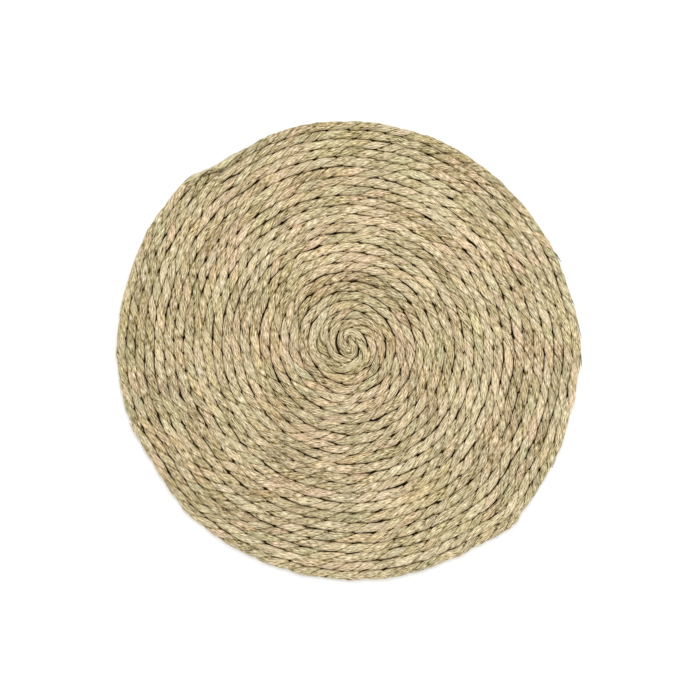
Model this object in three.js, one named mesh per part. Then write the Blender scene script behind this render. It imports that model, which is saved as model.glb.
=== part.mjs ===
// A round seagrass placemat: one long twisted rope, coiled flat from its eye to its rim
// and sewn turn to turn into a single stiff disc.
//
// Frame: millimetres, +Z up. The mat lies on z = 0 with the middle of its outline at the
// origin. +X is right and +Y is the far side of a mat laid in front of its user.
//
// The coil is a spiral in which every turn of the rope shows as a rounded rib on both faces.
// Places along it are counted in turns from the eye. A rib is a column of points across the
// rope, from the valley on its inner side, over two shoulders, to the valley on its outer side,
// and that outer valley is the inner valley of the same rope one turn later.
import * as THREE from "three";

const { degToRad, euclideanModulo, lerp, smoothstep } = THREE.MathUtils;

// ---- driving sizes ------------------------------------------------------------------------
const ROPE_PITCH = 7.8; // width that one turn of the rope takes up
const THICKNESS = 7.4; // the rope's height, a little pressed by the sewing
const WEB = 2.6; // material left where two turns touch
const TURNS = 24.6675; // turns from the eye to the tail
const SHOULDERS = [0.28, 0.72]; // where a rib's flat crest begins and ends, as shares of a pitch

// ---- the coil's plan ----------------------------------------------------------------------
const EYE = { x: 1.7, y: 5.3 }; // the outer turns' middle, a little off the outline's middle
const TAIL_DIRECTION = 127.5; // degrees anticlockwise from +X, where the rope ends at the rim
const LEAN = { toward: -71, share: 0.0184 }; // turns lie wider apart on the near side
const OVAL = { toward: 124, share: 0.018 }; // and the whole disc is slightly oval
// Local swells and dips of the rim: direction and half-width in degrees, rise as a share.
const SWELLS = [
  { toward: 312, halfWidth: 8, rise: 0.026 },
  { toward: 0, halfWidth: 7, rise: 0.012 },
  { toward: 341, halfWidth: 6, rise: -0.008 },
  { toward: 210.5, halfWidth: 12, rise: -0.025 },
  { toward: 208, halfWidth: 38, rise: 0.039 },
  { toward: 122, halfWidth: 7, rise: -0.009 },
];
const SWELLS_FROM = 8; // the turn from which the swells build up
// How far a turn lies outside its even place, and how far its middle lies to the right.
const DRIFTS = [
  { turn: 0, outward: 0, right: -1.0 },
  { turn: 5, outward: -1.0, right: -1.9 },
  { turn: 11, outward: 1.0, right: -1.6 },
  { turn: 16, outward: 0.9, right: -0.4 },
  { turn: 20.5, outward: 2.2, right: 0.3 },
  { turn: 25, outward: 0, right: 0 },
];

// ---- the eye and the tail -----------------------------------------------------------------
const EYE_TURNS = 0.375; // ribs start this many turns from the eye's middle
const TAIL_TAPER = { turns: 0.024, width: 0.12, height: 0.6 }; // how the rope's end thins out

// ---- fineness: steps in a turn near the eye, further out, and over the tail ---------------
const STEPS_INSIDE = 24;
const STEPS_OUTSIDE = 48;
const STEPS_TAIL = 180;
const FINER_FROM = 8; // the turn at which the finer steps begin
const SAME_PLACE = 1e-6; // turns closer than this are one place

const LAST_TURN = TURNS - 1; // the rib's inner valley ends here, its outer valley one turn on
const CREST_Z = { top: THICKNESS, under: 0 };
const VALLEY_Z = { top: (THICKNESS + WEB) / 2, under: (THICKNESS - WEB) / 2 };

// The coil winds outwards clockwise, so directions fall as the turns go on.
function directionAt(turn) {
  return TAIL_DIRECTION + (TURNS - turn) * 360;
}

// How much wider than even the turns lie in one direction, as a factor near 1.
function spread(direction, turn) {
  const lean = LEAN.share * Math.cos(degToRad(direction - LEAN.toward));
  const oval = OVAL.share * Math.cos(degToRad(2 * (direction - OVAL.toward)));
  let swell = 0;
  for (const { toward, halfWidth, rise } of SWELLS) {
    const away = euclideanModulo(direction - toward + 180, 360) - 180;
    swell += rise * Math.exp(-((away / halfWidth) ** 2));
  }
  return 1 + lean + oval + swell * smoothstep(turn, SWELLS_FROM, TURNS);
}

// The drift at a turn, read off between the rows of the table.
function driftAt(turn) {
  const next = DRIFTS.findIndex((row) => row.turn > turn);
  const [before, after] = [DRIFTS[next - 1], DRIFTS[next]];
  const share = (turn - before.turn) / (after.turn - before.turn);
  return {
    outward: lerp(before.outward, after.outward, share),
    right: lerp(before.right, after.right, share),
  };
}

// How much of its full section the rope still has, which falls only over the tail.
function taper(turn, least) {
  return lerp(least, 1, smoothstep(LAST_TURN - turn, 0, TAIL_TAPER.turns));
}

// A point of the coil: `across` runs from 0 at the rope's inner valley to 1 at its outer one.
function coilPoint(turn, across, z) {
  const place = turn + across * taper(turn, TAIL_TAPER.width);
  const direction = directionAt(turn);
  const drift = driftAt(place);
  const radius = ROPE_PITCH * place * spread(direction, place) + drift.outward;
  const angle = degToRad(direction);
  return [EYE.x + drift.right + radius * Math.cos(angle), EYE.y + radius * Math.sin(angle), z];
}

// The turns at which the rope has its columns of points.
function placesAlong() {
  const turns = [];
  let turn = EYE_TURNS;
  while (turn < LAST_TURN - SAME_PLACE) {
    turns.push(turn);
    let steps = turn < FINER_FROM - SAME_PLACE ? STEPS_INSIDE : STEPS_OUTSIDE;
    if (turn > LAST_TURN - TAIL_TAPER.turns) steps = STEPS_TAIL;
    turn += 1 / steps;
  }
  turns.push(LAST_TURN);
  return turns;
}

// One closed surface, put together from triangles that share their points.
class Surface {
  positions = [];
  triangles = [];

  add(point) {
    this.positions.push(...point);
    return this.positions.length / 3 - 1;
  }

  triangle(a, b, c) {
    this.triangles.push(a, b, c);
  }

  // Fills the strip between two lines by always stepping along the one that lags behind.
  zip(left, right, flip) {
    let i = 0;
    let j = 0;
    while (i < left.length - 1 || j < right.length - 1) {
      const leftNext = left[i + 1]?.turn ?? Infinity;
      const rightNext = right[j + 1]?.turn ?? Infinity;
      const corners = [left[i].index, 0, right[j].index];
      if (leftNext <= rightNext) {
        i += 1;
        corners[1] = left[i].index;
      } else {
        j += 1;
        corners[1] = right[j].index;
      }
      if (flip) corners.reverse();
      this.triangle(...corners);
    }
  }

  geometry() {
    const made = new THREE.BufferGeometry();
    made.setAttribute("position", new THREE.Float32BufferAttribute(this.positions, 3));
    made.setIndex(this.triangles);
    made.computeVertexNormals();
    return made;
  }
}

// The ribs of one face of the mat: the valley line from end to end and the two crest lines.
function layRibs(surface, side) {
  const places = placesAlong();
  const rise = CREST_Z[side] - VALLEY_Z[side];
  const flip = side === "under";
  const inner = places.map((turn) => {
    return { turn, index: surface.add(coilPoint(turn, 0, VALLEY_Z[side])) };
  });
  const shoulders = SHOULDERS.map((across) =>
    places.map((turn) => {
      const z = VALLEY_Z[side] + rise * taper(turn, TAIL_TAPER.height);
      return { turn, index: surface.add(coilPoint(turn, across, z)) };
    }),
  );
  // The last turn's outer valley has no neighbour outside it: it is the mat's rim.
  const rim = places
    .filter((turn) => turn > LAST_TURN - 1 + SAME_PLACE)
    .map((turn) => ({ turn, index: surface.add(coilPoint(turn, 1, VALLEY_Z[side])) }));
  const shared = inner
    .filter(({ turn }) => turn > EYE_TURNS + 1 - SAME_PLACE)
    .map(({ turn, index }) => ({ turn: turn - 1, index }));
  const rails = [inner, ...shoulders, [...shared, ...rim]];
  for (let i = 0; i < rails.length - 1; i++) surface.zip(rails[i], rails[i + 1], flip);
  return { rails, rim: [shared.at(-1), ...rim], flip };
}

// The middle of the mat: a low fan that closes the coil inside its first turn.
function closeEye(surface, { rails, flip }, z) {
  const middle = surface.add([EYE.x + DRIFTS[0].right, EYE.y, z]);
  const firstTurn = rails[0].filter(({ turn }) => turn < EYE_TURNS + 1 + SAME_PLACE);
  const ropeStart = rails.slice(1, -1).map((rail) => rail[0]);
  const ring = [...firstTurn, ...ropeStart.reverse(), firstTurn[0]];
  for (let i = 0; i < ring.length - 1; i++) {
    const [a, b] = [ring[i].index, ring[i + 1].index];
    surface.triangle(middle, flip ? a : b, flip ? b : a);
  }
}

// The rim's narrow upright band, and the cut end of the rope at the tail.
function closeRim(surface, top, under) {
  surface.zip(top.rim, under.rim, false);
  const endOf = ({ rails }) => rails.map((rail) => rail.at(-1).index);
  const [topEnd, underEnd] = [endOf(top), endOf(under)];
  for (let i = 0; i < topEnd.length - 1; i++) {
    surface.triangle(topEnd[i], underEnd[i], underEnd[i + 1]);
    surface.triangle(topEnd[i], underEnd[i + 1], topEnd[i + 1]);
  }
}

function buildCoil() {
  const surface = new Surface();
  const top = layRibs(surface, "top");
  const under = layRibs(surface, "under");
  closeEye(surface, top, CREST_Z.top);
  closeEye(surface, under, CREST_Z.under);
  closeRim(surface, top, under);
  return surface.geometry();
}

const seagrass = new THREE.MeshStandardMaterial({
  name: "seagrass",
  color: "rgb(185, 168, 132)",
  roughness: 0.75,
  metalness: 0,
  flatShading: true,
});

const coiledRope = new THREE.Mesh(buildCoil(), seagrass);
coiledRope.name = "coiled_rope";

const placemat = new THREE.Group();
placemat.name = "seagrass_placemat";
placemat.add(coiledRope);

export default placemat;
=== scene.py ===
"""Dresses a round seagrass placemat: two strands of twisted leaves, laid along its coil.

The file is laid out as a Blender add-on and is run as a script. Lengths are in metres and
angles along the coil in degrees, in the frame of the solid that the pieces replace: +Z up,
the mat lying on z = 0 with the middle of its outline at the origin.
"""

import math

import bpy
import numpy as np
from bpy.props import FloatProperty, FloatVectorProperty, IntProperty, PointerProperty
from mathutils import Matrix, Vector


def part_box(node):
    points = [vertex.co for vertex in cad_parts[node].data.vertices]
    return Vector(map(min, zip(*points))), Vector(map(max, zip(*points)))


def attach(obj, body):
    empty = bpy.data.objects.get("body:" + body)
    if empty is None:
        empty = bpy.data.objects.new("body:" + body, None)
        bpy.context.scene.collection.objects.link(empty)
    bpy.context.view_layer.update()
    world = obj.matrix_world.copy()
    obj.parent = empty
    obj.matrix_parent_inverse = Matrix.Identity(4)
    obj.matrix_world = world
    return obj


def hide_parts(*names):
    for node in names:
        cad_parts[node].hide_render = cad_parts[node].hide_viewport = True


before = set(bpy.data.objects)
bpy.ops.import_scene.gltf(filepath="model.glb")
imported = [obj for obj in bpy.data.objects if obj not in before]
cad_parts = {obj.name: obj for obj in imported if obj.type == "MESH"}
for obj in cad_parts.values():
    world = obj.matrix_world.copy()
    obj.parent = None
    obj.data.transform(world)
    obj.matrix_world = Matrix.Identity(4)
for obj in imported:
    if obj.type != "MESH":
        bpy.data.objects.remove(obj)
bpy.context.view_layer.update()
NODE = "coiled_rope"
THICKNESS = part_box(NODE)[1].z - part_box(NODE)[0].z
HALF_THICKNESS = 0.5 * THICKNESS

bl_info = {
    "name": "Coiled seagrass placemat",
    "version": (1, 0, 0),
    "blender": (4, 5, 0),
    "location": "3D View > Sidebar > Placemat",
    "description": "Lays the twisted rope of a coiled seagrass placemat, with its loose leaves",
    "category": "Object",
}

MM = 0.001

# ---- the coil's plan, as in the solid ----------------------------------------------------
PITCH = 7.8 * MM
TURNS = 24.6675
EYE = (1.7 * MM, 5.3 * MM)
TAIL_DIRECTION = 127.5
LEAN = {"toward": -71.0, "share": 0.0184}
OVAL = {"toward": 124.0, "share": 0.018}
SWELLS = (
    {"toward": 312.0, "half_width": 8.0, "rise": 0.026},
    {"toward": 0.0, "half_width": 7.0, "rise": 0.012},
    {"toward": 341.0, "half_width": 6.0, "rise": -0.008},
    {"toward": 210.5, "half_width": 12.0, "rise": -0.025},
    {"toward": 208.0, "half_width": 38.0, "rise": 0.039},
    {"toward": 122.0, "half_width": 7.0, "rise": -0.009},
)
SWELLS_FROM = 8.0
DRIFTS = (
    {"turn": 0.0, "outward": 0.0, "right": -1.0 * MM},
    {"turn": 5.0, "outward": -1.0 * MM, "right": -1.9 * MM},
    {"turn": 11.0, "outward": 1.0 * MM, "right": -1.6 * MM},
    {"turn": 16.0, "outward": 0.9 * MM, "right": -0.4 * MM},
    {"turn": 20.5, "outward": 2.2 * MM, "right": 0.3 * MM},
    {"turn": 25.0, "outward": 0.0, "right": 0.0},
)
TAIL_TAPER = {"turns": 0.024, "width": 0.12, "height": 0.6}
LAST_TURN = TURNS - 1.0

# ---- the rope's own sizes ----------------------------------------------------------------
PATH_SAMPLES, LEAD_SAMPLES = 24001, 200
# The turn that reaches furthest inwards, and how many turns it takes to fade.
CROWD = {"turn": 0.42, "fade": 0.26}
# The push at the eye: its middle, how far from there it grows, and the turns over which it fades.
PUSH = {"right": 0.6 * MM, "reach": (5.0 * MM, 4.0 * MM), "fade": (0.9, 1.9)}
TWIST_START = 0.15  # turns of the first strand from the outer side, where the lead begins
VALLEY_SHADE_SHARPNESS = 10  # power by which the painted shade falls off from a valley's line
GROOVE_SHADE = {"depth": 0.5, "sharpness": 1.8}  # a groove's dark: its share and its power
# The core's reach in half widths: inwards at the eye, between turns, and at the open rim.
CORE_REACH = {"eye": 1.7, "between": 1.16, "rim": 0.72}
# How the rope is uneven: the length of rope from one random value to the next, their seed,
# and how many values further on the second strand reads.
UNEVEN = {
    "crest": {"length": 30.0 * MM, "seed": 17, "apart": 0.0},
    "stray": {"length": 8.0 * MM, "seed": 19, "apart": 0.0},
    "fatness": {"length": 21.0 * MM, "seed": 23, "apart": 0.0},
    "swell": {"length": 11.0 * MM, "seed": 29, "apart": 300.0},
    "groove": {"length": 9.0 * MM, "seed": 47, "apart": 200.0},
    "patch": {"length": 26.0 * MM, "seed": 37, "apart": 700.0},
    "gold": {"length": 21.0 * MM, "seed": 43, "apart": 500.0},
    "tone": {"length": 17.0 * MM, "seed": 41, "apart": 900.0},
    "long_tone": {"length": 50.0 * MM, "seed": 71, "apart": 0.0},
    "longest_tone": {"length": 130.0 * MM, "seed": 73, "apart": 0.0},
}
# The first leaf number of each kind of piece, so that no two share a leaf's own tone.
LEAF_NUMBERS = {"strand": 5000.0, "slip": 9000.5, "fibre": 20000.5, "rim": 40000.5}
# The leaves are pinkest near the eye and lightest half-way out.
TINTS = (
    {"turn": 0.0, "tone": 0.0, "patch": 0.0},
    {"turn": 4.0, "tone": -0.15, "patch": 0.3},
    {"turn": 8.0, "tone": 0.0, "patch": 0.1},
    {"turn": 12.5, "tone": 0.45, "patch": 0.0},
    {"turn": 17.0, "tone": 0.1, "patch": 0.05},
    {"turn": 23.0, "tone": 0.0, "patch": -0.15},
)


def smoothstep(value, low, high):
    """0 below low, 1 above high, and a smooth S between them."""
    share = np.clip((value - low) / (high - low), 0.0, 1.0)
    return share * share * (3.0 - 2.0 * share)


def mix(low, high, share):
    """low where share is 0, high where it is 1, and evenly between."""
    return low + (high - low) * share


def direction_at(turn):
    """Degrees anticlockwise from +X: the coil winds outwards clockwise."""
    return TAIL_DIRECTION + (TURNS - turn) * 360.0


def spread(direction, turn):
    """1, plus a cosine for the lean, one of twice the angle for the oval, and bell curves
    for the rim's swells, which build up over the outer turns."""
    lean = LEAN["share"] * np.cos(np.radians(direction - LEAN["toward"]))
    oval = OVAL["share"] * np.cos(np.radians(2.0 * (direction - OVAL["toward"])))
    swell = 0.0
    for row in SWELLS:
        away = (direction - row["toward"] + 180.0) % 360.0 - 180.0
        swell = swell + row["rise"] * np.exp(-((away / row["half_width"]) ** 2))
    return 1.0 + lean + oval + swell * smoothstep(turn, SWELLS_FROM, TURNS)


def read_table(table, turn, name):
    """A column of a table by turns, read off in straight lines between its rows."""
    return np.interp(turn, [row["turn"] for row in table], [row[name] for row in table])


def taper(turn, least):
    """1 along the rope, falling smoothly to least over the tail."""
    return mix(least, 1.0, smoothstep(LAST_TURN - turn, 0.0, TAIL_TAPER["turns"]))


def coil_point(turn, across):
    """The point whose radius is pitch times turns, times the spread, plus the drift.
    across is 0 at the rope's inner valley and 1 at its outer one."""
    place = turn + across * taper(turn, TAIL_TAPER["width"])
    direction = direction_at(turn)
    radius = PITCH * place * spread(direction, place) + read_table(DRIFTS, place, "outward")
    angle = np.radians(direction)
    x = EYE[0] + read_table(DRIFTS, place, "right") + radius * np.cos(angle)
    return np.stack([x, EYE[1] + radius * np.sin(angle)], axis=-1)


# ---- seeded unevenness ---------------------------------------------------------------------
def soft_noise(x, seed):
    """Smooth noise from -1 to 1 along x, with a new value at each whole number."""
    table = np.random.default_rng(seed).uniform(-1.0, 1.0, 4096)
    cell = np.floor(x).astype(int)
    share = smoothstep(x - cell, 0.0, 1.0)
    return mix(table[cell % 4096], table[(cell + 1) % 4096], share)


def soft_noise_2d(x, y, seed):
    """Smooth noise from -1 to 1 over x and y, with a new value at each whole pair."""
    table = np.random.default_rng(seed).uniform(-1.0, 1.0, (1024, 64))
    i, j = np.floor(x).astype(int), np.floor(y).astype(int)
    u, v = smoothstep(x - i, 0.0, 1.0), smoothstep(y - j, 0.0, 1.0)
    low = mix(table[i % 1024, j % 64], table[(i + 1) % 1024, j % 64], u)
    high = mix(table[i % 1024, (j + 1) % 64], table[(i + 1) % 1024, (j + 1) % 64], u)
    return mix(low, high, v)


def uneven(kind, along, strand=0):
    """Smooth noise along the rope, or along one of its strands, by its row in the table."""
    row = UNEVEN[kind]
    return soft_noise(along / row["length"] + row["apart"] * strand, row["seed"])


# ---- meshes from rings ---------------------------------------------------------------------
def tube_faces(count, rings, points, first):
    """Corner indices of count tubes, each of rings rings of points points: one quad between
    neighbours along and around, then one flat cap at each tube's start and end."""
    tube = np.arange(count)[:, None, None] * rings * points + first
    ring = np.arange(rings - 1)[None, :, None] * points
    here = np.arange(points)[None, None, :]
    after = (here + 1) % points
    a, b = tube + ring + here, tube + ring + after
    quads = np.stack([a, b, b + points, a + points], axis=-1).reshape(-1, 4)
    start = (tube[:, 0] + np.arange(points)[::-1]).reshape(count, points)
    end = tube[:, 0] + (rings - 1) * points + np.arange(points)
    return quads, np.concatenate([start, end.reshape(count, points)])


def mesh_from_tubes(name, tubes):
    """One mesh of many closed tubes. Each entry of tubes holds "points" (count, rings, around,
    3), "leaf" (count, rings, around, 2) for the UV map, and named float layers."""
    quads, caps, points, leaf = [], [], [], []
    layers = {key: [] for key in tubes[0] if key not in ("points", "leaf")}
    first = 0
    for tube in tubes:
        count, rings, around, _ = tube["points"].shape
        quad, cap = tube_faces(count, rings, around, first)
        quads.append(quad)
        caps.append(cap)
        points.append(tube["points"].reshape(-1, 3))
        leaf.append(tube["leaf"].reshape(-1, 2))
        for key, rows in layers.items():
            rows.append(np.broadcast_to(tube[key], (count, rings, around)).reshape(-1))
        first += count * rings * around
    points, leaf = np.concatenate(points), np.concatenate(leaf)
    quads = np.concatenate(quads)
    corners = np.concatenate([quads.reshape(-1)] + [cap.reshape(-1) for cap in caps])
    totals = np.concatenate([np.full(len(quads), 4)] + [np.full(len(c), c.shape[1]) for c in caps])
    mesh = bpy.data.meshes.new(name)
    mesh.vertices.add(len(points))
    mesh.vertices.foreach_set("co", points.astype(np.float32).reshape(-1))
    mesh.loops.add(len(corners))
    mesh.loops.foreach_set("vertex_index", corners.astype(np.int32))
    mesh.polygons.add(len(totals))
    starts = np.concatenate([[0], np.cumsum(totals)[:-1]])
    mesh.polygons.foreach_set("loop_start", starts.astype(np.int32))
    mesh.polygons.foreach_set("loop_total", totals.astype(np.int32))
    mesh.polygons.foreach_set("use_smooth", totals == 4)
    uv = mesh.uv_layers.new(name="leaf")
    uv.data.foreach_set("uv", leaf[corners].astype(np.float32).reshape(-1))
    for key, rows in layers.items():
        layer = mesh.attributes.new(key, "FLOAT", "POINT")
        layer.data.foreach_set("value", np.concatenate(rows).astype(np.float32))
    mesh.update(calc_edges=True)
    mesh.validate()
    return mesh


def add_piece(name, tubes, material):
    """Puts the tubes in the scene as a piece that rides with the mat and replaces its solid."""
    mesh = mesh_from_tubes(name, tubes)
    mesh.materials.append(material)
    piece = bpy.data.objects.new(name, mesh)
    bpy.context.scene.collection.objects.link(piece)
    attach(piece, "root")
    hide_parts(NODE)


# ---- the rope ------------------------------------------------------------------------------
class RopePath:
    """The rope's middle line and its frame, read off at any distance along it. It starts
    with a short straight lead that runs into the coil."""

    def __init__(self, rope):
        self.rope = rope
        turn = np.linspace(rope.start_turn, LAST_TURN, PATH_SAMPLES)
        # The first turn reaches further in than its place, which fills the eye.
        crowd = rope.crowding * np.exp(-(((turn - CROWD["turn"]) / CROWD["fade"]) ** 2))
        inner, outer = coil_point(turn, -crowd), coil_point(turn, 1.0)
        middle = 0.5 * (inner + outer) + self.eye_push(0.5 * (inner + outer), turn)
        back = middle[0] - middle[1]
        back = back / np.linalg.norm(back)
        lead = np.linspace(1.0, 0.0, LEAD_SAMPLES + 1)[:-1, None]
        self.middle = np.concatenate([middle[0] + lead * rope.lead * back, middle])
        self.turn = np.concatenate([np.full(LEAD_SAMPLES, rope.start_turn), turn])
        step = np.linalg.norm(np.diff(self.middle, axis=0), axis=1)
        self.along = np.concatenate([[0.0], np.cumsum(step)])
        self.length = self.along[-1]
        heading = np.gradient(self.middle, self.along, axis=0)
        self.heading = heading / np.linalg.norm(heading, axis=1)[:, None]
        # Outward lies to the left of a clockwise heading.
        self.outward = np.stack([-self.heading[:, 1], self.heading[:, 0]], axis=-1)
        across = outer - inner
        across = np.concatenate([np.repeat(across[:1], LEAD_SAMPLES, axis=0), across])
        width = np.sum(across * self.outward, axis=1)
        thin = mix(rope.lead_width, 1.0, smoothstep(self.along, 0.0, 1.4 * rope.lead))
        self.half_width = 0.5 * width * rope.fullness * thin
        self.half_height = HALF_THICKNESS * taper(self.turn, TAIL_TAPER["height"])

    def eye_push(self, middle, turn):
        """How far the first turn lies from its even place. It is pressed to an oval, narrower
        from side to side and longer to and fro, leans over and lies a little nearer the user.
        The push grows as the tanh of the distance from the eye, and ends by the second turn."""
        rope = self.rope
        x, y = middle[:, 0] - PUSH["right"], middle[:, 1] - EYE[1]
        grown_x, grown_y = np.tanh(x / PUSH["reach"][0]), np.tanh(y / PUSH["reach"][1])
        right = rope.eye_shift[0] - rope.eye_squeeze * grown_x - rope.eye_lean * y
        far = rope.eye_shift[1] + rope.eye_stretch * grown_y
        fade = 1.0 - smoothstep(turn, *PUSH["fade"])
        return fade[:, None] * np.stack([right, far], axis=-1)

    def read(self, column, along):
        """A column at the given distances, in straight lines between the samples."""
        if column.ndim == 1:
            return np.interp(along, self.along, column)
        parts = [np.interp(along, self.along, column[:, i]) for i in range(column.shape[1])]
        return np.stack(parts, axis=-1)

    def twist(self, along):
        """The angle of the first strand round the rope, in radians from outward to up. It
        falls along the rope, which is a left-hand twist, and hurries and lags a little."""
        rope = self.rope
        slow = rope.lay_unevenness * soft_noise(along / (2.5 * rope.lay), 11)
        quick = rope.lobe_unevenness * soft_noise(along / (0.7 * rope.lay), 13)
        return 2.0 * math.pi * (TWIST_START - along / rope.lay + slow + quick)

    def surface(self, along, angle, reach):
        """The point at an angle round the rope, reach times the section's radius out. The
        section is a superellipse of the rope's half width and half height."""
        rope = self.rope
        half_width = self.read(self.half_width, along)
        half_height = self.read(self.half_height, along)
        cosine, sine = np.cos(angle), np.sin(angle)
        power = rope.squareness
        wide = np.abs(cosine / half_width) ** power + np.abs(sine / half_height) ** power
        radius = reach * wide ** (-1.0 / power)
        return self.place(along, radius * cosine, radius * sine)

    def valley(self, along, points):
        """How much painted shade a point gets in the valley between two turns: a power of its nearness
        to half the rope's height. It is weaker at the eye, and the rim's open side has none."""
        near = 1.0 - np.abs(points[..., 2] / HALF_THICKNESS - 1.0)
        from_middle = points[..., :2] - self.read(self.middle, along)
        side = np.sum(from_middle * self.read(self.outward, along), axis=-1)
        turn = self.read(self.turn, along)
        open_side = (turn > LAST_TURN - 1.0) & (side > 0.0)
        shade_strength = mix(0.5, 1.0, smoothstep(turn, 0.6, 1.8))
        return np.where(open_side, 0.0, shade_strength * np.clip(near, 0.0, 1.0) ** VALLEY_SHADE_SHARPNESS)

    def place(self, along, out, up):
        """The point that lies out and up from the rope's middle line, kept above the table.
        The rope rises and dips a little, sways along with its neighbours and strays on its
        own from side to side."""
        middle, outward = self.read(self.middle, along), self.read(self.outward, along)
        rise = self.rope.crest_unevenness * uneven("crest", along)
        cell = middle / (13.0 * MM) + 32.0
        sway = self.rope.sway * soft_noise_2d(cell[..., 0], cell[..., 1], 83)
        sway = sway + self.rope.stray * uneven("stray", along)
        flat = middle + outward * (out + sway)[..., None]
        height = np.maximum(HALF_THICKNESS + up + rise, 0.0)
        return np.concatenate([flat, height[..., None]], axis=-1)


def ring_places(path, step_inside, step_outside):
    """Distances along the rope, closer together where it bends hard near the eye."""
    fine = np.linspace(0.0, path.length, 20001)
    step = mix(step_inside, step_outside, smoothstep(fine, 20.0 * MM, 250.0 * MM))
    count = np.concatenate([[0.0], np.cumsum(np.diff(fine) / step[1:])])
    return np.interp(np.linspace(0.0, count[-1], int(count[-1]) + 1), count, fine)


def strand_angle(path, strand, along, share):
    """The angle round the rope of a place on a strand's back: the strand's own angle, which
    turns with the twist, plus its share of a quarter turn. Where one strand is fatter, it
    spreads further than a quarter turn and the other one less far."""
    fat = path.rope.strand_unevenness * uneven("fatness", along) * (1 - 2 * strand)
    return path.twist(along) + strand * math.pi + share * (0.5 * math.pi + fat)


def groove_strength(path, strand, along, share):
    """How strong the nearer groove is: 1 where it runs along the rope's side, and less by
    the cosine's square where the strands are pressed together on top, though not at the eye,
    where the rope is wound hard. It varies a good deal."""
    angle = strand_angle(path, strand, along, np.where(share > 0.0, 1.0, -1.0))
    from_eye = smoothstep(path.read(path.turn, along), 1.5, 4.0)
    on_top = mix(path.rope.groove_at_eye, path.rope.groove_on_top, from_eye)
    return (1.0 + 0.5 * uneven("groove", along, strand)) * mix(on_top, 1.0, np.cos(angle) ** 2)


def strand_back(path, strand, along, share):
    """Where a strand's back lies, as a share of the section's radius, and which leaf it is.
    share runs from -1 to 1 between its grooves. The back is 1, less a high power of share
    for the groove; it swells and thins along the rope, and has a ridge for each leaf and
    soft lumps. Leaves creep round the strand, so that they lie straighter than its grooves."""
    rope = path.rope
    leaf = (share * 0.5 + 0.5) * rope.leaves - along / rope.leaf_creep
    swell = 1.0 + rope.width_unevenness * uneven("swell", along, strand)
    depth = rope.groove_depth * groove_strength(path, strand, along, share)
    groove = 1.0 - depth * np.abs(share) ** rope.groove_sharpness
    ridge = rope.leaf_relief * (np.abs(np.sin(math.pi * leaf)) ** 0.7 - 1.0)
    lump = soft_noise_2d(along / (5.0 * MM) + 400.0 * strand, leaf * 1.3, 31)
    return swell * groove + ridge + rope.lump_relief * lump, leaf


def strand_tint(path, along, strand):
    """A strand's slow changes of colour, as named layers: some run along its length, and
    some are shared with the turns beside it."""
    cell = path.read(path.middle, along) / (24.0 * MM)
    x, y = cell[..., 0] + 40.0, cell[..., 1] + 20.0
    turn = path.read(path.turn, along)
    patch, gold = uneven("patch", along, strand), uneven("gold", along, strand)
    tone = 0.85 * uneven("tone", along, strand)
    tone = tone + 0.5 * uneven("long_tone", along) + 0.5 * uneven("longest_tone", along)
    # Squared, so that most lengths are near the mean and a few stand out.
    patch = 0.9 * patch * np.abs(patch) + 0.4 * soft_noise_2d(x, y, 61)
    gold = 1.1 * gold * np.abs(gold) + 0.35 * soft_noise_2d(y, x, 67)
    return {
        "patch": patch + read_table(TINTS, turn, "patch"),
        "gold": gold,
        "tone": tone + read_table(TINTS, turn, "tone"),
    }


def strand_rings(path, strand, along):
    """One strand: its rounded back, closed by a nearly flat inner face through the middle
    of the rope."""
    rope = path.rope
    lengths = np.repeat(along[:, None], rope.points_on_back, axis=1)
    share = np.linspace(-1.0, 1.0, rope.points_on_back)[None, :]
    reach, leaf = strand_back(path, strand, lengths, share)
    back = path.surface(lengths, strand_angle(path, strand, lengths, share), reach)
    side = np.linspace(0.55, -0.55, rope.points_inside) * (1.0 - rope.groove_depth)
    side = side[None, :] * path.read(path.half_width, along)[:, None]
    centre = path.twist(along)[:, None] + strand * math.pi
    out = rope.strand_gap * np.cos(centre) - side * np.sin(centre)
    up = rope.strand_gap * np.sin(centre) + side * np.cos(centre)
    inside = path.place(np.repeat(along[:, None], rope.points_inside, axis=1), out, up)
    points = np.concatenate([back, inside], axis=1)
    leaf = np.concatenate([leaf, np.repeat(leaf[:, -1:], rope.points_inside, axis=1)], axis=1)
    where = np.repeat(along[:, None], leaf.shape[1], axis=1)
    # The depth layer is painted shade: the back is painted dark in its groove and its valley, and the
    # inner face all over.
    depth = np.ones(leaf.shape)
    groove = np.abs(share) ** (GROOVE_SHADE["sharpness"] * rope.groove_sharpness)
    groove = groove * np.minimum(groove_strength(path, strand, lengths, share), 1.0)
    open_to_light = (1.0 - GROOVE_SHADE["depth"] * groove) * (1.0 - path.valley(lengths, back))
    depth[:, : rope.points_on_back] = 1.0 - open_to_light
    tint = strand_tint(path, along, strand)
    return {
        "points": points[None],
        "leaf": np.stack([leaf + LEAF_NUMBERS["strand"] * strand, where], axis=-1)[None],
        "depth": depth[None],
        **{key: np.repeat(value[:, None], leaf.shape[1], axis=1)[None] for key, value in tint.items()},
    }


def round_ends(rings, along, length, reach):
    """Draws the strand's first and last rings together towards their middles as a dome."""
    points = rings["points"][0]
    from_end = np.minimum(along, length - along)
    share = np.sqrt(np.clip(1.0 - (1.0 - np.clip(from_end / reach, 0.0, 1.0)) ** 2, 0.02, 1.0))
    middle = points.mean(axis=1, keepdims=True)
    rings["points"] = (middle + (points - middle) * share[:, None, None])[None]


ROPE_PIECES = ("rope_eye", "rope_inner", "rope_middle", "rope_outer", "rope_rim")
CUT_SEARCH = 25  # rings either side of an even cut in which the strand goes under once


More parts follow.
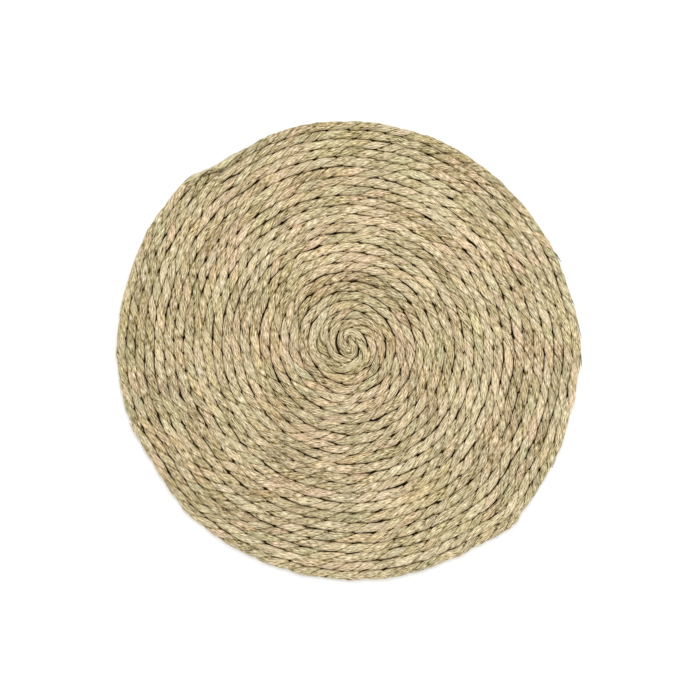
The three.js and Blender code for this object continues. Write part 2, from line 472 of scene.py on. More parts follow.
def cut_rings(path, along, strand, pieces):
    """Ring numbers at which a strand is parted between pieces: near equal lengths, each
    moved to where the strand runs under the rope."""
    angle = (path.twist(along) + strand * math.pi) % (2.0 * math.pi)
    under = np.abs(angle - 1.5 * math.pi)
    cuts = [0]
    for i in range(1, pieces):
        even = round(i * (len(along) - 1) / pieces)
        near = np.arange(even - CUT_SEARCH, even + CUT_SEARCH)
        cuts.append(int(near[np.argmin(under[near])]))
    return cuts + [len(along) - 1]


class PLACEMAT_OT_lay_rope(bpy.types.Operator):
    """Lay the twisted rope along its coil"""

    bl_idname = "placemat.lay_rope"
    bl_label = "Lay Rope"

    def execute(self, context):
        rope = context.scene.placemat_rope
        path = RopePath(rope)
        along = ring_places(path, rope.step_at_eye, rope.step)
        material = leaf_material("seagrass_rope", context.scene.placemat_grass)
        parts = {name: [] for name in ROPE_PIECES}
        for strand in (0, 1):
            rings = strand_rings(path, strand, along)
            round_ends(rings, along, path.length, 3.0 * MM)
            cuts = cut_rings(path, along, strand, len(ROPE_PIECES))
            for name, first, last in zip(ROPE_PIECES, cuts[:-1], cuts[1:]):
                parts[name].append({key: v[:, first : last + 1] for key, v in rings.items()})
        for name, tubes in parts.items():
            add_piece(name, tubes, material)
        return {"FINISHED"}


class PLACEMAT_OT_lay_core(bpy.types.Operator):
    """Lay the flat core that fills the rope and joins it to its neighbours, painted dark as the shade
    between the turns
    """

    bl_idname = "placemat.lay_core"
    bl_label = "Lay Core"

    def execute(self, context):
        rope = context.scene.placemat_rope
        path = RopePath(rope)
        along = ring_places(path, rope.step_at_eye, 1.4 * rope.step)
        # A flat six-sided section, which stops short of the rim on the last turn.
        turn = path.read(path.turn, along)
        at_rim = smoothstep(turn, LAST_TURN - 1.02, LAST_TURN - 0.98)
        outwards = mix(CORE_REACH["between"], CORE_REACH["rim"], at_rim)
        outwards = outwards * smoothstep(path.length - along, 0.0, 6.0 * MM)
        from_eye = smoothstep(along, 14.0 * MM, 30.0 * MM)
        inwards = mix(CORE_REACH["eye"], CORE_REACH["between"], from_eye)
        corner = np.array([1.0, 0.5, -0.5, -1.0, -0.5, 0.5])[None, :]
        rise = np.array([0.0, 1.0, 1.0, 0.0, -1.0, -1.0])[None, :] * rope.core_height
        half_width = path.read(path.half_width, along)[:, None]
        wide = corner * np.where(corner > 0.0, outwards[:, None], inwards[:, None])
        lengths = np.repeat(along[:, None], 6, axis=1)
        # It rises at the eye, where nothing else would close the rope's first turn.
        at_eye = 1.0 - smoothstep(lengths, 16.0 * MM, 34.0 * MM)
        points = path.place(lengths, wide * half_width, rise + rope.core_rise * at_eye)
        leaf = np.stack([corner * 2.0 + 0.0 * lengths, lengths], axis=-1)
        # Its depth layer paints the core as shade all over, a little less at the eye.
        tube = {"points": points[None], "leaf": leaf[None], "depth": (1.0 - 0.45 * at_eye)[None]}
        tube.update({key: np.zeros((1, 1, 1)) for key in ("patch", "gold", "tone")})
        material = leaf_material("seagrass_core_painted_shade", context.scene.placemat_grass)
        add_piece("rope_core", [tube], material)
        return {"FINISHED"}


def each(values):
    """One value for each loose piece, ready to meet the piece's rings and points."""
    return values[:, None, None]


def loose_tube(points, number, along, tint):
    """Tubes with leaf numbers and tints of their own, which lie open to the light."""
    leaf = np.stack([number + 0.0 * along, along + 0.0 * number], axis=-1)
    return {"points": points, "leaf": leaf, "depth": np.zeros((1, 1, 1)), **tint}


def scatter(path, loose, count, seed):
    """Seeded places for loose pieces: distance along the rope, strand and share of its back,
    most of them where the strand's back shows on top."""
    dice = np.random.default_rng(seed)
    tries = count * 6
    along = dice.uniform(12.0 * MM, path.length - 50.0 * MM, tries)
    strand = dice.integers(0, 2, tries)
    share = dice.uniform(-0.8, 0.8, tries)
    height = np.sin(strand_angle(path, strand, along, share))
    wanted = dice.uniform(-1.0, 1.0, tries) < height + 0.35
    kept = np.flatnonzero(wanted & (dice.uniform(0.0, 1.0, tries) < loose.evenness))[:count]
    return dice, along[kept], strand[kept], share[kept]


class PLACEMAT_OT_lay_slips(bpy.types.Operator):
    """Lay the loose slips of leaf that have sprung from the strands"""

    bl_idname = "placemat.lay_slips"
    bl_label = "Lay Slips"

    def execute(self, context):
        rope, loose = context.scene.placemat_rope, context.scene.placemat_loose
        path = RopePath(rope)
        dice, middle, strand, share = scatter(path, loose, loose.slips, 53)
        count = len(middle)
        length = dice.uniform(loose.slip_short, loose.slip_long, count)
        width = dice.uniform(0.5, 1.0, count) * loose.slip_width
        spring = dice.uniform(0.0, 1.0, count) ** 3 * loose.slip_spring
        skew = dice.uniform(-0.25, 0.25, count)
        u = np.linspace(0.0, 1.0, loose.slip_rings)[None, :, None]
        v = np.array([-1.0, 0.0, 1.0, 0.0])[None, None, :]
        top = np.array([0.0, 1.0, 0.0, -1.0])[None, None, :]
        along = each(middle) + (u - 0.5) * each(length) + 0.0 * v
        # The slip follows its leaf, which creeps round the strand, and tapers at both ends.
        creep = 2.0 / (rope.leaves * rope.leaf_creep) * each(length)
        half = 0.5 * each(width) * smoothstep(u, -0.15, 0.3) * (1.0 - u**4) ** 0.8
        half = np.maximum(half, 0.04 * MM)
        place = each(share) + (u - 0.5) * (creep + each(skew))
        place = place + v * half / (0.5 * math.pi * HALF_THICKNESS)
        strands = each(strand) + 0.0 * along
        reach, _ = strand_back(path, strands, along, np.clip(place, -1.0, 1.0))
        # Its root is tucked in and its tip stands off.
        lift = each(spring) * smoothstep(u, 0.6, 1.0) ** 1.5
        lift = lift - 0.35 * MM * (1.0 - smoothstep(u, 0.0, 0.2))
        lift = lift + 0.05 * MM + loose.slip_thickness * top * smoothstep(half, 0.0, 0.3 * MM)
        angle = strand_angle(path, strands, along, place)
        points = path.surface(along, angle, reach + lift / HALF_THICKNESS)
        number = LEAF_NUMBERS["slip"] + 3.0 * each(np.arange(count)) + 0.4 * v
        tint = strand_tint(path, along, strands)
        tint["tone"] = tint["tone"] + each(dice.uniform(-0.9, 1.0, count))
        material = leaf_material("seagrass_slip", context.scene.placemat_grass)
        add_piece("leaf_slips", [loose_tube(points, number, along, tint)], material)
        return {"FINISHED"}


class PLACEMAT_OT_lay_fibres(bpy.types.Operator):
    """Lay the stray fibres that have worked loose from the strands"""

    bl_idname = "placemat.lay_fibres"
    bl_label = "Lay Fibres"

    def execute(self, context):
        loose = context.scene.placemat_loose
        path = RopePath(context.scene.placemat_rope)
        dice, start, strand, share = scatter(path, loose, loose.fibres, 59)
        count = len(start)
        length = dice.uniform(0.4, 1.0, count) * loose.fibre_length
        lean, bend = dice.uniform(-0.5, 0.5, (2, count))
        spring = dice.uniform(0.0, 1.0, count) ** 2 * loose.fibre_spring
        u = np.linspace(0.0, 1.0, 6)[None, :, None]
        along = each(start) + u * each(length)
        place = each(share) + u * each(lean) + u * u * each(bend)
        strands = each(strand) + 0.0 * along
        reach, _ = strand_back(path, strands, along, np.clip(place, -1.0, 1.0))
        reach = reach + (0.08 * MM + each(spring) * u * u) / HALF_THICKNESS
        middle = path.surface(along, strand_angle(path, strands, along, place), reach)
        # Each fibre is a three-sided tube that thins towards its tip.
        turn = 2.0 * math.pi * np.arange(3)[None, None, :] / 3.0
        radius = loose.fibre_radius * (1.0 - 0.7 * u)
        outward = path.read(path.outward, along + 0.0 * turn)
        flat = middle[..., :2] + outward * (radius * np.cos(turn))[..., None]
        height = middle[..., 2:] + (radius * np.sin(turn))[..., None]
        points = np.concatenate([flat, height], axis=-1)
        points[..., 2] = np.maximum(points[..., 2], 0.0)
        number = LEAF_NUMBERS["fibre"] + 3.0 * each(np.arange(count)) + 0.0 * turn
        tint = strand_tint(path, along, strands)
        tint["tone"] = each(dice.uniform(-2.5, 1.5, count))
        material = leaf_material("seagrass_fibre", context.scene.placemat_grass)
        add_piece("stray_fibres", [loose_tube(points, number, along, tint)], material)
        return {"FINISHED"}


# Leaves laid round the rim: the directions in degrees between which they run, the angle round
# the rope at their start and end, their half-width there, how far their start and end stand
# off in millimetres, and their tone.
TAIL_WRAP = {
    "run": (136.5, 118.5),
    "angle": (58.0, 64.0),
    "half": 50.0,
    "lift": (0.45, 0.45),
    "tone": 0.3,
}
# This dark strip is painted shadow: it lies slantwise over the turn inside, where the tail's leaf goes
# under.
TAIL_SHADOW_STRIP = {
    "run": (132.4, 125.4),
    "angle": (35.0, 150.0),
    "half": 10.0,
    "lift": (0.2, 0.2),
    "tone": -4.2,
}
RIM_SLIPS = (
    {"run": (24.4, 21.2), "angle": (36.0, 36.0), "half": 9.0, "lift": (0.0, 1.8), "tone": -4.2},
    {"run": (11.6, 9.5), "angle": (32.0, 32.0), "half": 8.0, "lift": (0.0, 0.9), "tone": -4.2},
    {"run": (6.4, 1.4), "angle": (34.0, 34.0), "half": 8.0, "lift": (0.0, 1.0), "tone": -4.0},
    {"run": (-2.0, -5.6), "angle": (34.0, 34.0), "half": 9.0, "lift": (0.0, 1.4), "tone": -4.2},
    {"run": (135.8, 132.6), "angle": (28.0, 28.0), "half": 9.0, "lift": (0.0, 1.2), "tone": -4.6},
    {"run": (202.0, 199.6), "angle": (20.0, 20.0), "half": 8.0, "lift": (0.0, 0.8), "tone": -1.0},
    {"run": (248.5, 246.4), "angle": (24.0, 24.0), "half": 7.0, "lift": (0.0, 0.6), "tone": 0.5},
    {"run": (331.0, 328.2), "angle": (24.0, 24.0), "half": 8.0, "lift": (0.0, 0.8), "tone": -2.5},
)
# How green or pink they are, how thick in millimetres, and the marks on the smooth leaf.
WRAP_PATCH, SLIP_PATCH = -1.4, 0.2
BAND_THICKNESS = 0.22
SMOOTH = 0.45


def rim_band(path, row, rings, patch, inside=False):
    """A leaf laid on the rim between two directions, as a flat tube: an arc round the rope's
    section. It runs from the last turn across to the turn inside it past the tail, or lies
    on the turn inside all the way, as the dark strip of painted shadow does."""
    direction = np.linspace(*row["run"], rings)
    turn = LAST_TURN + (TAIL_DIRECTION - direction) / 360.0
    along = [np.interp(np.minimum(turn - lap, LAST_TURN), path.turn, path.along) for lap in (0, 1)]
    u = np.linspace(0.0, 1.0, rings)[:, None]
    v = np.array([-1.0, -0.5, 0.0, 0.5, 1.0, 0.4, -0.4])[None, :]
    top = np.array([0.0, 0.85, 1.0, 0.85, 0.0, -0.5, -0.5])[None, :]
    width = smoothstep(u, 0.0, 0.25) * (1.0 - smoothstep(u, 0.6, 1.05)) + 0.05
    angle = np.radians(mix(*row["angle"], u) + v * row["half"] * width)
    lift = mix(*row["lift"], u) + BAND_THICKNESS * top
    reach = 1.0 + lift * MM / HALF_THICKNESS
    laps = [path.surface(place[:, None] + 0.0 * v, angle, reach) for place in along]
    share = smoothstep(direction, TAIL_DIRECTION + 2.0, TAIL_DIRECTION - 1.0)
    share = np.maximum(share, float(inside))
    points = mix(*laps, share[:, None, None])
    number = LEAF_NUMBERS["rim"] + 0.4 * v[None]
    tint = {"patch": np.full((1, 1, 1), patch), "tone": np.full((1, 1, 1), row["tone"])}
    tint["gold"] = np.zeros((1, 1, 1))
    return loose_tube(points[None], number, along[1][None, :, None], tint)


class PLACEMAT_OT_wrap_tail(bpy.types.Operator):
    """Wrap the smooth leaf that holds the rope's tail, lay a dark strip painted as the shadow under it,
    and lay the loose slips at the rim
    """

    bl_idname = "placemat.wrap_tail"
    bl_label = "Wrap Tail"

    def execute(self, context):
        grass = context.scene.placemat_grass
        path = RopePath(context.scene.placemat_rope)
        wrap = rim_band(path, TAIL_WRAP, 30, WRAP_PATCH)
        add_piece("tail_wrap", [wrap], leaf_material("seagrass_wrap", grass, SMOOTH))
        # The first band is a dark strip of painted shadow under the tail's leaf.
        slips = [rim_band(path, TAIL_SHADOW_STRIP, 20, SLIP_PATCH, inside=True)]
        slips += [rim_band(path, row, 10, SLIP_PATCH) for row in RIM_SLIPS]
        add_piece("rim_slips_and_painted_shadow", slips, leaf_material("seagrass_rim", grass))
        return {"FINISHED"}


# ---- materials -----------------------------------------------------------------------------
# Noise on a leaf: its cells to a leaf's width and to a metre of its length, and its detail.
LEAF_NOISE = {
    "edge": {"across": 0.7, "along": 42.0, "detail": 1.0},
    "dashes": {"across": 2.6, "along": 145.0, "detail": 2.0},
    "fibre": {"across": 5.0, "along": 340.0, "detail": 3.0},
    "grain": {"across": 6.0, "along": 210.0, "detail": 1.0},
    "breaks": {"across": 1.3, "along": 330.0, "detail": 1.0},
}
LEAF_COLOURS = ("straw", "green", "pink", "golden", "grey")
# grooves sets the painted shade of the grooves and valleys.
LEAF_STRENGTHS = ("level", "leaves", "tones", "grooves")
LEAF_MARKS = ("dashes", "streaks", "grain", "creases")
WHITE = (1.0, 1.0, 1.0, 1.0)


class Wiring:
    """Adds nodes to a tree and links them, to keep the materials below short."""

    def __init__(self, tree):
        self.tree = tree

    def node(self, kind, settings=(), **inputs):
        """A node with its settings, and its inputs set or linked by name."""
        made = self.tree.nodes.new(kind)
        for key, value in dict(settings).items():
            setattr(made, key, value)
        for key, value in inputs.items():
            self.feed(made.inputs[key.replace("_", " ")], value)
        return made

    def feed(self, target, value):
        """Links an output to an input, or sets the input to a plain value."""
        if isinstance(value, bpy.types.NodeSocket):
            self.tree.links.new(value, target)
        else:
            target.default_value = value

    def math(self, operation, *values, clamp=False):
        """The result of one sum on up to three values."""
        made = self.tree.nodes.new("ShaderNodeMath")
        made.operation = operation
        made.use_clamp = clamp
        for target, value in zip(made.inputs, values):
            self.feed(target, value)
        return made.outputs[0]

    def blend(self, factor, one, other, mode="MIX"):
        """One colour changed to another by a factor that is held between 0 and 1."""
        made = self.node(
            "ShaderNodeMix", {"data_type": "RGBA", "blend_type": mode, "clamp_factor": True}
        )
        # A mix node has these sockets for each kind of value, and the colour's come last.
        for number, value in ((0, factor), (6, one), (7, other)):
            self.feed(made.inputs[number], value)
        return made.outputs[2]

    def noise(self, place, kind):
        """Noise from 0 to 1 over a leaf's count and distance, by its row in the table."""
        row = LEAF_NOISE[kind]
        across = self.math("MULTIPLY", place["X"], row["across"])
        along = self.math("MULTIPLY", place["Y"], row["along"])
        at = self.node("ShaderNodeCombineXYZ", X=across, Y=along).outputs[0]
        made = self.node("ShaderNodeTexNoise", Vector=at, Scale=1.0, Detail=row["detail"])
        return made.outputs[0]


def leaf_group():
    """Node group: colour, roughness and relief of twisted leaves. Leaf holds the count of
    leaves round the strand and the distance along it. Each whole number is one leaf with a
    brightness of its own. Dashes, streaks and a fine grain run along it, and its edges are
    creased; the dark of the dashes and the creases is painted shade. Patch leads from green
    to pink and Gold from grey to golden; Tone gives the strand's slow changes of brightness,
    and Depth how deep in a groove or valley it lies, where shade is painted."""
    name = "twisted_leaves"
    if name in bpy.data.node_groups:
        return bpy.data.node_groups[name]
    group = bpy.data.node_groups.new(name, "ShaderNodeTree")
    numbers = ("patch", "gold", "tone", "depth", *LEAF_STRENGTHS, *LEAF_MARKS)
    sockets = [("Leaf", "Vector", "INPUT")]
    sockets += [(key.capitalize(), "Float", "INPUT") for key in numbers]
    sockets += [(key.capitalize(), "Color", "INPUT") for key in LEAF_COLOURS]
    sockets += [("Color", "Color", "OUTPUT")]
    sockets += [(key, "Float", "OUTPUT") for key in ("Roughness", "Relief")]
    for key, kind, way in sockets:
        group.interface.new_socket(name=key, in_out=way, socket_type="NodeSocket" + kind)
    wire = Wiring(group)
    given = group.nodes.new("NodeGroupInput").outputs
    place = wire.node("ShaderNodeSeparateXYZ", Vector=given["Leaf"]).outputs
    # The leaf's edges wander a little along its length.
    wander = wire.math("SUBTRACT", wire.noise(place, "edge"), 0.5)
    count = wire.math("MULTIPLY_ADD", wander, 0.9, place["X"])
    within = wire.math("FRACT", count)
    dice = wire.node(
        "ShaderNodeTexWhiteNoise", {"noise_dimensions": "1D"}, W=wire.math("FLOOR", count)
    )
    # Three random values for each leaf, from -0.5 to 0.5.
    parts = wire.node("ShaderNodeSeparateColor", Color=dice.outputs["Color"]).outputs
    own = [wire.math("SUBTRACT", part, 0.5) for part in parts[:3]]
    # Colour: the strand's patch, and a little of each leaf's own.
    patch = wire.math("MULTIPLY_ADD", own[0], 0.15, given["Patch"])
    gold = wire.math("MULTIPLY_ADD", own[2], 0.15, given["Gold"])
    colour = wire.blend(patch, given["Straw"], given["Pink"])
    colour = wire.blend(wire.math("MULTIPLY", patch, -1.0), colour, given["Green"])
    tint = wire.blend(gold, WHITE, given["Golden"])
    tint = wire.blend(wire.math("MULTIPLY", gold, -1.0), tint, given["Grey"])
    colour = wire.blend(1.0, colour, tint, "MULTIPLY")
    # Dashes: short breaks between bundles of fibre, pressed into the relief, whose dark is painted shade;
    # and weaker light ones.
    dash = wire.math("SUBTRACT", wire.noise(place, "dashes"), 0.5)
    dark, light = wire.math("MAXIMUM", dash, 0.0), wire.math("MINIMUM", dash, 0.0)
    dash = wire.math("MULTIPLY_ADD", light, 0.45, dark)
    # Streaks are the fibre itself, and grain is the leaf's dry, finely wrinkled skin.
    fibre, grain = wire.noise(place, "fibre"), wire.noise(place, "grain")
    # The crease at the leaf's edge, 1 at the edge itself. It is pressed into the relief, and its dark is
    # painted shade.
    edge = wire.math("MINIMUM", within, wire.math("SUBTRACT", 1.0, within))
    crease = wire.math("SUBTRACT", 1.0, wire.math("MULTIPLY", edge, 8.0), clamp=True)
    # The painted shade of the grooves and valleys is uneven along them.
    breaks = wire.math("MULTIPLY_ADD", wire.noise(place, "breaks"), 1.7, 0.15)
    deep = wire.math("MULTIPLY", given["Depth"], wire.math("MAXIMUM", breaks, 0.0))
    # Brightness: the even changes are added up, and then the dark marks are taken off: the painted shade
    # of the dashes, the creases, and the grooves and valleys.
    level = given["Level"]
    streak, wrinkle = [wire.math("SUBTRACT", noise, 0.5) for noise in (fibre, grain)]
    changes = {"Leaves": own[1], "Tones": given["Tone"], "Streaks": streak, "Grain": wrinkle}
    for strength, change in changes.items():
        level = wire.math("MULTIPLY_ADD", change, given[strength], level)
    for strength, mark in {"Dashes": dash, "Creases": crease, "Grooves": deep}.items():
        level = wire.math("SUBTRACT", level, wire.math("MULTIPLY", mark, given[strength]))
    level = wire.math("MAXIMUM", level, 0.03)
    # Darker places are browner: green falls a little and blue a good deal faster than red.
    # Lighter places keep their hue.
    green = wire.math("MINIMUM", wire.math("POWER", level, 1.18), level)
    blue = wire.math("MINIMUM", wire.math("POWER", level, 2.0), wire.math("POWER", level, 1.1))
    shade = wire.node("ShaderNodeCombineColor", Red=level, Green=green, Blue=blue).outputs[0]
    rough = wire.math("MULTIPLY_ADD", fibre, 0.3, 0.5, clamp=True)
    relief = wire.math("MULTIPLY", wire.math("SUBTRACT", 1.0, crease), 0.6)
    relief = wire.math("MULTIPLY_ADD", fibre, 0.5, relief)
    relief = wire.math("MULTIPLY_ADD", dark, -3.0, relief)
    result = group.nodes.new("NodeGroupOutput").inputs
    wire.feed(result["Color"], wire.blend(1.0, colour, shade, "MULTIPLY"))
    wire.feed(result["Roughness"], rough)
    wire.feed(result["Relief"], relief)
    return group


def leaf_material(name, grass, marks=1.0):
    """Dry seagrass: the leaf group's colours on a matt surface, with its relief as bump.
    marks below 1 makes a smoother leaf."""
    material = bpy.data.materials.new(name)
    material.use_nodes = True
    wire = Wiring(material.node_tree)
    wire.tree.nodes.clear()
    where = wire.node("ShaderNodeUVMap", {"uv_map": "leaf"}).outputs[0]
    leaves = wire.node("ShaderNodeGroup", {"node_tree": leaf_group()}, Leaf=where)
    # depth carries the painted shade of the grooves, valleys, inner faces and core.
    for key in ("patch", "gold", "tone", "depth"):
        layer = wire.node("ShaderNodeAttribute", {"attribute_name": key})
        wire.feed(leaves.inputs[key.capitalize()], layer.outputs["Fac"])
    for key in LEAF_COLOURS:
        leaves.inputs[key.capitalize()].default_value = (*getattr(grass, key), 1.0)
    for key in (*LEAF_STRENGTHS, *LEAF_MARKS):
        strength = marks if key in LEAF_MARKS else 1.0
        leaves.inputs[key.capitalize()].default_value = strength * getattr(grass, key)
    made = leaves.outputs
    bump = wire.node("ShaderNodeBump", Strength=1.0, Distance=grass.relief, Height=made["Relief"])
    surface = wire.node(
        "ShaderNodeBsdfPrincipled",
        Base_Color=made["Color"],
        Roughness=made["Roughness"],
        Normal=bump.outputs[0],
        Specular_IOR_Level=0.1,
    )
    wire.node("ShaderNodeOutputMaterial", Surface=surface.outputs[0])
    return material


# ---- the stage -----------------------------------------------------------------------------
class PLACEMAT_OT_set_stage(bpy.types.Operator):
    """Set a pale floor, soft light and a camera straight above the mat"""

    bl_idname = "placemat.set_stage"
    bl_label = "Set Stage"

    def execute(self, context):
        scene, stage = context.scene, context.scene.placemat_stage
        scene.view_settings.view_transform = "Standard"
        self.lay_floor(scene, stage)
        self.light_sky(scene, stage)
        self.hang_light(scene, stage)
        self.hang_camera(scene, stage)
        return {"FINISHED"}

    def lay_floor(self, scene, stage):
        """A plain square floor just under the mat."""
        mesh = bpy.data.meshes.new("floor")
        half = stage.floor_half
        corners = [(-half, -half, 0.0), (half, -half, 0.0), (half, half, 0.0), (-half, half, 0.0)]
        mesh.from_pydata(corners, [], [(0, 1, 2, 3)])
        floor = bpy.data.objects.new("floor", mesh)
        floor.location.z = -0.1 * MM
        scene.collection.objects.link(floor)
        material = bpy.data.materials.new("pale_floor")
        material.use_nodes = True
        shader = material.node_tree.nodes["Principled BSDF"]
        shader.inputs["Base Color"].default_value = (*stage.floor_colour, 1.0)
        shader.inputs["Roughness"].default_value = 0.9
        shader.inputs["Specular IOR Level"].default_value = 0.0
        mesh.materials.append(material)

    def light_sky(self, scene, stage):
        """Even white light from all round."""
        world = bpy.data.worlds.new("soft_room")
        world.use_nodes = True
        sky = world.node_tree.nodes["Background"]
        sky.inputs["Color"].default_value = WHITE
        sky.inputs["Strength"].default_value = stage.sky_strength
        scene.world = world

    def hang_light(self, scene, stage):
        """A round soft light that looks at the mat's middle from its direction and height."""
        lamp = bpy.data.lights.new("window_light", "AREA")
        lamp.shape = "DISK"
        lamp.size = stage.light_size
        lamp.energy = stage.light_power
        light = bpy.data.objects.new("window_light", lamp)
        scene.collection.objects.link(light)
        flat, up = math.radians(stage.light_toward), math.radians(stage.light_elevation)
        out = stage.light_distance * math.cos(up)
        rise = stage.light_distance * math.sin(up)
        light.location = (out * math.cos(flat), out * math.sin(flat), rise)
        light.rotation_euler = (0.5 * math.pi - up, 0.0, flat + 0.5 * math.pi)

    def hang_camera(self, scene, stage):
        """A camera straight above, whose lens takes in the picture's width at the mat."""
        lens = bpy.data.cameras.new("camera")
        lens.sensor_width = 36.0
        lens.lens = lens.sensor_width * stage.camera_height / stage.picture_width
        camera = bpy.data.objects.new("camera", lens)
        camera.location = (*stage.camera_over, stage.camera_height + HALF_THICKNESS)
        scene.collection.objects.link(camera)
        scene.camera = camera


# ---- settings ------------------------------------------------------------------------------
def count_property(name, description, default):
    """A whole number of things."""
    return IntProperty(name=name, description=description, default=default)


def number_property(name, description, default, **kind):
    """A number or share, unless its kind says that it is an angle or a power."""
    return FloatProperty(name=name, description=description, default=default, **kind)


def length_property(name, description, default):
    """A length in metres."""
    return number_property(name, description, default, unit="LENGTH")


def shift_property(name, description, default):
    """Two lengths in metres: to the right and to the far side."""
    return FloatVectorProperty(
        name=name, description=description, default=default, size=2, unit="LENGTH"
    )


def colour_property(name, description, default):
    """A colour of light, from 0 to 1 in each of red, green and blue."""
    return FloatVectorProperty(
        name=name, description=description, default=default, subtype="COLOR", min=0.0, max=1.0
    )


class PlacematRope(bpy.types.PropertyGroup):
    """Sizes of the rope and its strands"""

    start_turn: number_property("Start", "Turn at which the rope runs into the coil", 0.0)
    lead: length_property("Lead", "Length of the straight lead before the coil", 8.5 * MM)
    lead_width: number_property("Lead width", "Width of the lead's tip, as a share", 0.75)
    crowding: number_property("Crowding", "How far the first turn reaches inwards, in pitches", 0.3)
    eye_shift: shift_property(
        "Eye shift", "How far the first turn lies from its place", (0.2 * MM, -1.6 * MM)
    )
    eye_stretch: length_property(
        "Eye stretch", "How much longer to and fro the first turn is, each way", 2.2 * MM
    )
    eye_squeeze: length_property(
        "Eye squeeze", "How much narrower the first turn is, each side", 1.2 * MM
    )
    eye_lean: number_property("Eye lean", "How far the first turn leans over, as a share", 0.15)
    fullness: number_property(
        "Fullness", "Rope's width as a share of the coil's pitch, over 1 where turns press together", 1.03
    )
    squareness: number_property("Squareness", "Power of the section's superellipse", 2.7)
    lay: length_property("Lay", "Length of rope in which a strand goes once round", 33.0 * MM)
    lay_unevenness: number_property(
        "Lay unevenness", "How far the twist hurries or lags, in turns", 0.22
    )
    lobe_unevenness: number_property("Lobe unevenness", "The same from one lobe to the next", 0.13)
    width_unevenness: number_property("Width unevenness", "How far a strand swells and thins", 0.07)
    strand_unevenness: number_property(
        "Strand unevenness", "How far one strand presses into the other", 0.14, subtype="ANGLE"
    )
    crest_unevenness: length_property("Crest unevenness", "How far the rope rises and dips", 0.2 * MM)
    sway: length_property("Sway", "How far neighbouring turns sway together", 0.8 * MM)
    stray: length_property("Stray", "How far a turn strays alone", 0.3 * MM)
    groove_depth: number_property("Groove depth", "Depth of the groove, as a share of the radius", 0.4)
    groove_on_top: number_property("Groove on top", "Its depth on the rope's top, as a share", 0.52)
    groove_at_eye: number_property("Groove at the eye", "The same over the first turns", 1.0)
    groove_sharpness: number_property(
        "Groove sharpness", "Power by which the back falls to the groove", 5.0
    )
    strand_gap: length_property(
        "Strand gap", "Half the gap between the strands' inner faces", 0.12 * MM
    )
    leaves: count_property("Leaves", "Leaves seen across a strand's back", 5)
    leaf_creep: length_property(
        "Leaf creep", "Length in which the leaves move round by one leaf", 4.8 * MM
    )
    leaf_relief: number_property(
        "Leaf relief", "Height of a leaf's ridge, as a share of the radius", 0.05
    )
    lump_relief: number_property("Lump relief", "Height of the lumps, as a share of the radius", 0.025)
    points_on_back: count_property("Points on back", "Points round a strand's back", 22)
    points_inside: count_property("Points inside", "Points on a strand's inner face", 3)
    core_height: length_property("Core height", "Half the height of the rope's core", 1.3 * MM)
    core_rise: length_property("Core rise", "How far the core rises at the eye", 0.9 * MM)
    step: length_property("Step", "Distance between rings", 2.0 * MM)
    step_at_eye: length_property(
        "Step at the eye", "Distance between rings where the rope bends hard", 0.8 * MM
    )


class PlacematLoose(bpy.types.PropertyGroup):
    """Numbers and sizes of the loose slips and fibres"""

    slips: count_property("Slips", "Number of loose slips", 900)
    evenness: number_property("Evenness", "Share of the tried places that are used", 0.6)
    slip_short: length_property("Shortest slip", "Length", 9.0 * MM)
    slip_long: length_property("Longest slip", "Length", 24.0 * MM)
    slip_width: length_property("Slip width", "Width of the widest slip", 2.2 * MM)
    slip_thickness: length_property("Slip thickness", "Thickness", 0.12 * MM)
    slip_spring: length_property("Slip spring", "How far a slip's tip can stand off", 0.9 * MM)
    slip_rings: count_property("Slip rings", "Rings along a slip", 9)
    fibres: count_property("Fibres", "Number of stray fibres", 500)
    fibre_length: length_property("Fibre length", "Length of the longest", 14.0 * MM)
    fibre_radius: length_property("Fibre radius", "Radius at the root", 0.12 * MM)
    fibre_spring: length_property("Fibre spring", "How far a fibre's tip can stand off", 1.6 * MM)


class PlacematGrass(bpy.types.PropertyGroup):
    """Colours of the leaves and strengths of their marks"""

    straw: colour_property("Straw", "Colour of most leaves", (0.56, 0.467, 0.3))
    green: colour_property("Green", "Colour of leaves cut young", (0.515, 0.469, 0.29))
    pink: colour_property("Pink", "Colour of leaves dried in the sun", (0.605, 0.459, 0.31))
    golden: colour_property("Golden", "Tint of ripe leaves", (1.0, 0.97, 0.87))
    grey: colour_property("Grey", "Tint of weathered leaves", (0.95, 0.96, 1.0))
    level: number_property("Level", "Brightness without any marks", 1.0)
    leaves: number_property("Leaves", "How much leaves differ", 0.15)
    tones: number_property("Tones", "How much lengths of strand differ", 0.19)
    # The dashes' dark is painted shade.
    dashes: number_property("Dashes", "Strength of the dark dashes", 1.0)
    streaks: number_property("Streaks", "Strength of the fibre", 1.0)
    # Creases is the painted shade between leaves.
    grain: number_property("Grain", "Strength of the finest marks", 4.1)
    # Grooves is the painted shade in the grooves and valleys, on the strands' inner faces and on the
    # core.
    creases: number_property("Creases", "Darkness between leaves", 0.3)
    grooves: number_property("Grooves", "Darkness of the grooves", 1.3)
    relief: length_property("Relief", "Height of the fibre's relief", 0.35 * MM)


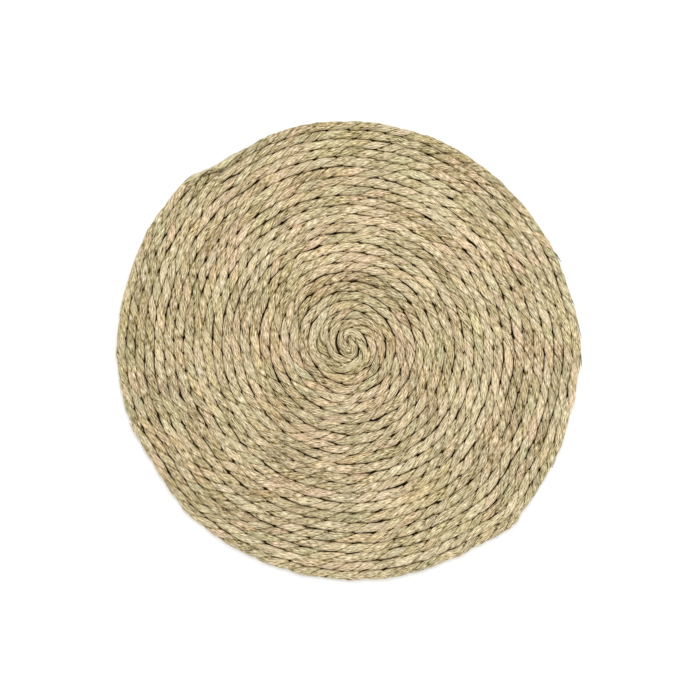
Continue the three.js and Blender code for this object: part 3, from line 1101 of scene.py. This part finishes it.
class PlacematStage(bpy.types.PropertyGroup):
    """Floor, light and camera"""

    floor_colour: colour_property("Floor", "Colour of the floor", (0.96, 0.96, 0.96))
    floor_half: length_property("Floor size", "Half the side of the floor", 6.0)
    light_distance: length_property("Light distance", "From the main light to the mat", 1.6)
    light_size: length_property("Light size", "Width of the main light", 1.2)
    sky_strength: number_property("Sky", "Strength of the soft light", 1.02)
    light_power: number_property("Light", "Power of the main light", 9.0, unit="POWER")
    light_toward: number_property("Light from", "Direction of the main light, in degrees", 78.0)
    light_elevation: number_property("Light above", "Height of the main light, in degrees", 66.0)
    camera_height: length_property("Camera height", "Height above the mat", 1.6)
    picture_width: length_property(
        "Picture width", "Width that the picture covers at the mat", 578.3 * MM
    )
    camera_over: shift_property(
        "Camera over", "Point of the mat in the middle of the picture", (0.8 * MM, 0.4 * MM)
    )


class PLACEMAT_PT_panel(bpy.types.Panel):
    """Lists the placemat's pieces and their sizes"""

    bl_idname = "PLACEMAT_PT_panel"
    bl_label = "Placemat"
    bl_space_type = "VIEW_3D"
    bl_region_type = "UI"
    bl_category = "Placemat"

    def draw(self, context):
        """One button for each piece, and one box for each group of settings."""
        for operator in OPERATORS:
            self.layout.operator(operator.bl_idname)
        for name in SETTINGS:
            settings = getattr(context.scene, name)
            box = self.layout.box()
            for key in settings.__annotations__:
                box.prop(settings, key)


OPERATORS = (
    PLACEMAT_OT_lay_rope,
    PLACEMAT_OT_lay_core,
    PLACEMAT_OT_lay_slips,
    PLACEMAT_OT_lay_fibres,
    PLACEMAT_OT_wrap_tail,
    PLACEMAT_OT_set_stage,
)
SETTINGS = {
    "placemat_rope": PlacematRope,
    "placemat_loose": PlacematLoose,
    "placemat_grass": PlacematGrass,
    "placemat_stage": PlacematStage,
}


def register():
    """Makes the settings, operators and panel known to Blender."""
    for kind in (*SETTINGS.values(), *OPERATORS, PLACEMAT_PT_panel):
        bpy.utils.register_class(kind)
    for name, kind in SETTINGS.items():
        setattr(bpy.types.Scene, name, PointerProperty(type=kind))


def unregister():
    """Takes them away again."""
    for name in SETTINGS:
        delattr(bpy.types.Scene, name)
    for kind in (PLACEMAT_PT_panel, *OPERATORS, *SETTINGS.values()):
        bpy.utils.unregister_class(kind)


def main():
    """Registers the add-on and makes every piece."""
    register()
    bpy.ops.placemat.lay_rope()
    bpy.ops.placemat.lay_core()
    bpy.ops.placemat.lay_slips()
    bpy.ops.placemat.lay_fibres()
    bpy.ops.placemat.wrap_tail()
    bpy.ops.placemat.set_stage()


if __name__ == "__main__":
    main()
